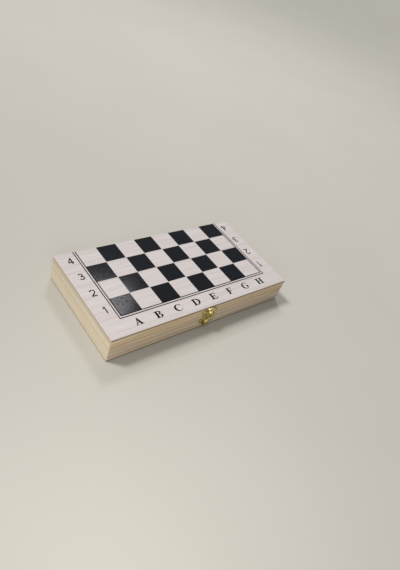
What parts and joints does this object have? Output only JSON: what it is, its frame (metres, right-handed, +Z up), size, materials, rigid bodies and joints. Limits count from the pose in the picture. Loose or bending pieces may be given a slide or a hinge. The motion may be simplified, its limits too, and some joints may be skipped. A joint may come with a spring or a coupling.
{
  "type": "folding game box",
  "caption": "Shallow wooden case that folds open flat on its hinges, with a printed chess board outside, a backgammon board inside and a swinging hook latch.",
  "frame": {"origin": "centre of the outer face of the base board, the face that the closed box stands on", "axes": "+X along the hinge line, +Y from the latch towards the hinges, +Z up through the closed box"},
  "size_m": [0.29, 0.1529, 0.037],
  "materials": {
    "printed_board": "satin print",
    "pine": "thin satin lacquer",
    "latch_brass": "polished",
    "hinge_brass": "satin",
    "steel": "drawn wire",
    "black_ink": "satin",
    "red_ink": "satin"
  },
  "bodies": {
    "base": {"base_panel": "printed_board", "base_front_rail": "pine", "base_back_rail": "pine", "base_left_rail": "pine", "base_right_rail": "pine", "left_hinge_base_leaf": "hinge_brass", "right_hinge_base_leaf": "hinge_brass", "left_hinge_pin": "steel", "right_hinge_pin": "steel", "latch_base_plate": "latch_brass", "latch_washer": "latch_brass", "latch_rivet": "latch_brass"},
    "lid": {"lid_panel": "printed_board", "lid_front_rail": "pine", "lid_back_rail": "pine", "lid_left_rail": "pine", "lid_right_rail": "pine", "left_hinge_lid_leaf": "hinge_brass", "right_hinge_lid_leaf": "hinge_brass", "latch_lid_plate": "latch_brass", "latch_knob": "latch_brass"},
    "hook": {"latch_hook": "latch_brass"}
  },
  "joints": [
    {"name": "lid_hinge", "type": "hinge", "parent": "base", "child": "lid", "pos_m": [0, 0.0729, 0.0185], "axis": [-1, 0, 0], "range_deg": [0, 180]},
    {"name": "hook_swing", "type": "hinge", "parent": "base", "child": "hook", "pos_m": [0, -0.0725, 0.0115], "axis": [0, 1, 0], "range_deg": [0, 75]}
  ]
}
